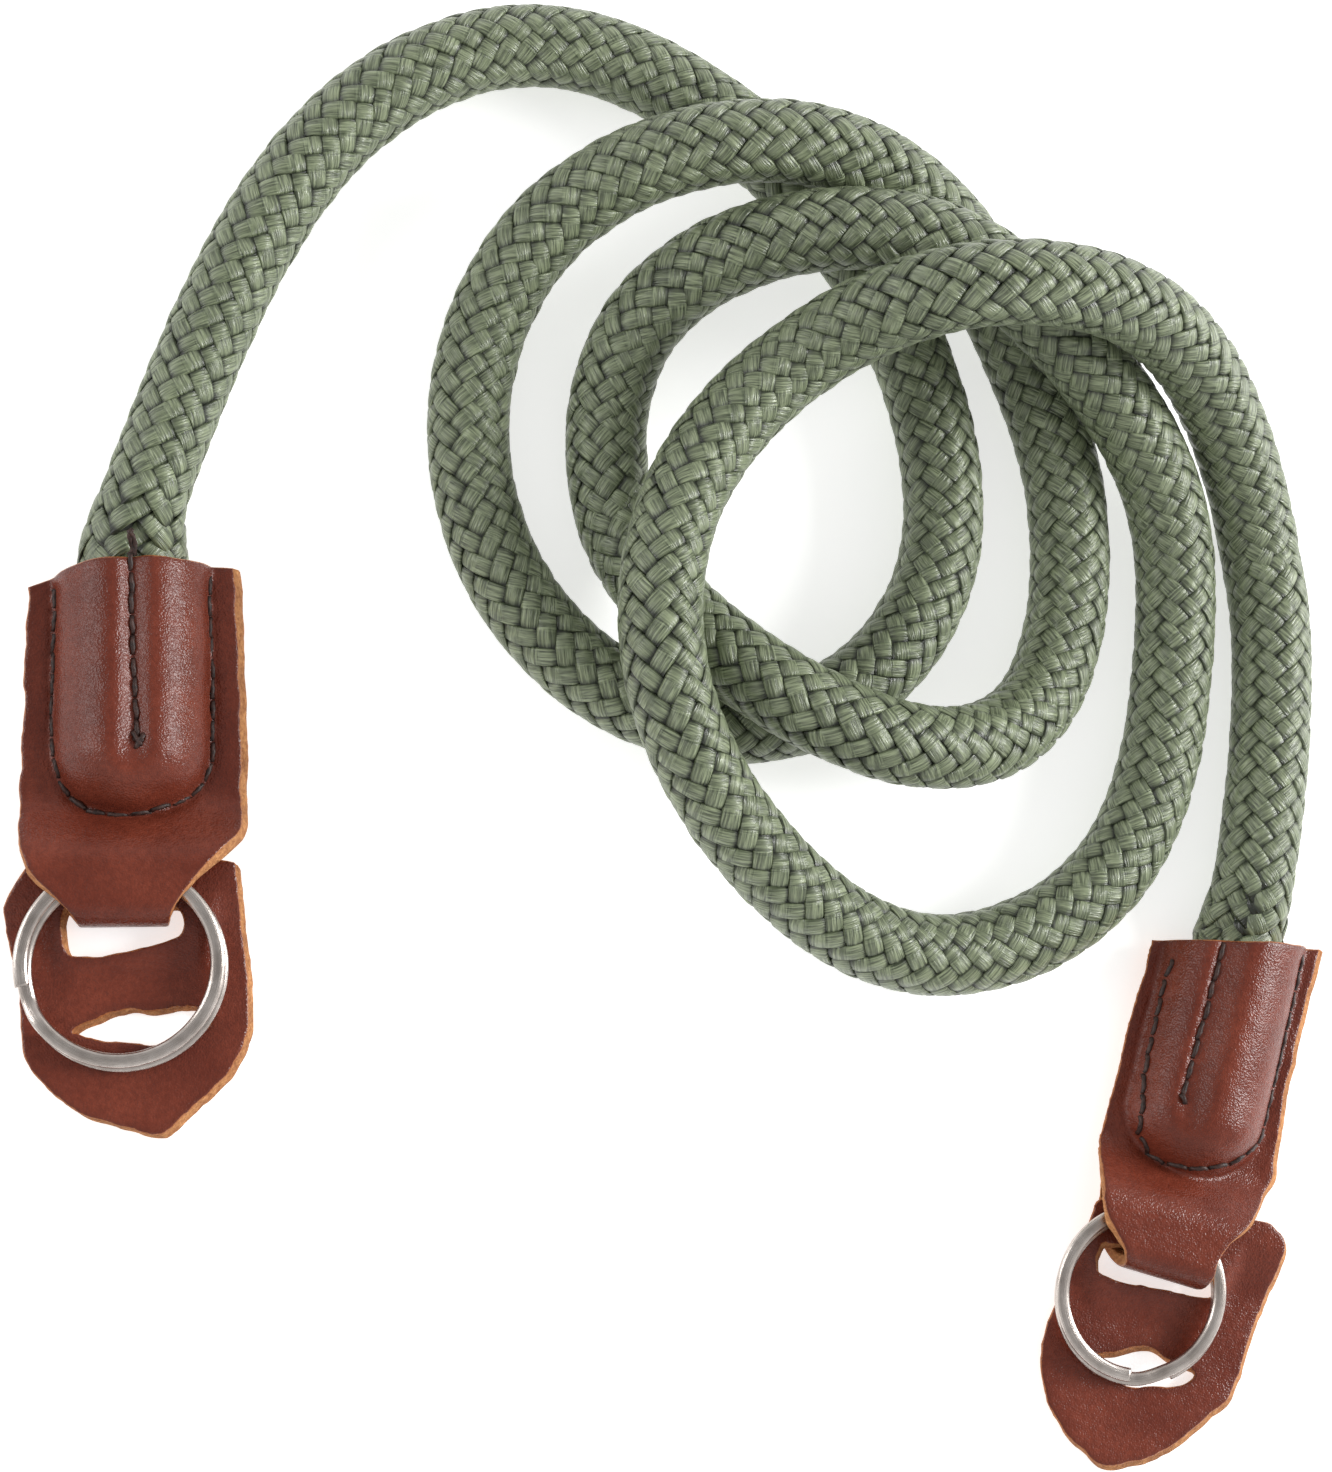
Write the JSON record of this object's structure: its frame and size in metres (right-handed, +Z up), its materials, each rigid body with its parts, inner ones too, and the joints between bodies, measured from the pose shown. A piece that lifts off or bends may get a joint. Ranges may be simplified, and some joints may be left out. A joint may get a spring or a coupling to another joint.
{
  "type": "camera strap",
  "caption": "Round braided rope strap, loosely coiled, with a folded leather tab, a split ring and a slotted leather guard pad at each end.",
  "frame": {"origin": "on the surface the strap lies on, under the middle of the box round the two leather ends and their rings", "axes": "+Z up from the surface, +X from the left end to the right end, +Y from the rings towards the rope"},
  "size_m": [0.1622, 0.1779, 0.0342],
  "materials": {
    "rope_green": "braided nylon with a soft sheen",
    "leather_brown": "smooth, semi-gloss, with raw cut edges",
    "ring_steel": "satin, slightly worn"
  },
  "bodies": {
    "root": {"rope": "rope_green", "rope_end_left": "rope_green", "rope_end_right": "rope_green", "end_tab_left": "leather_brown", "end_tab_right": "leather_brown", "guard_pad_left": "leather_brown", "guard_pad_right": "leather_brown", "split_ring_left": "ring_steel", "split_ring_right": "ring_steel"}
  },
  "joints": []
}
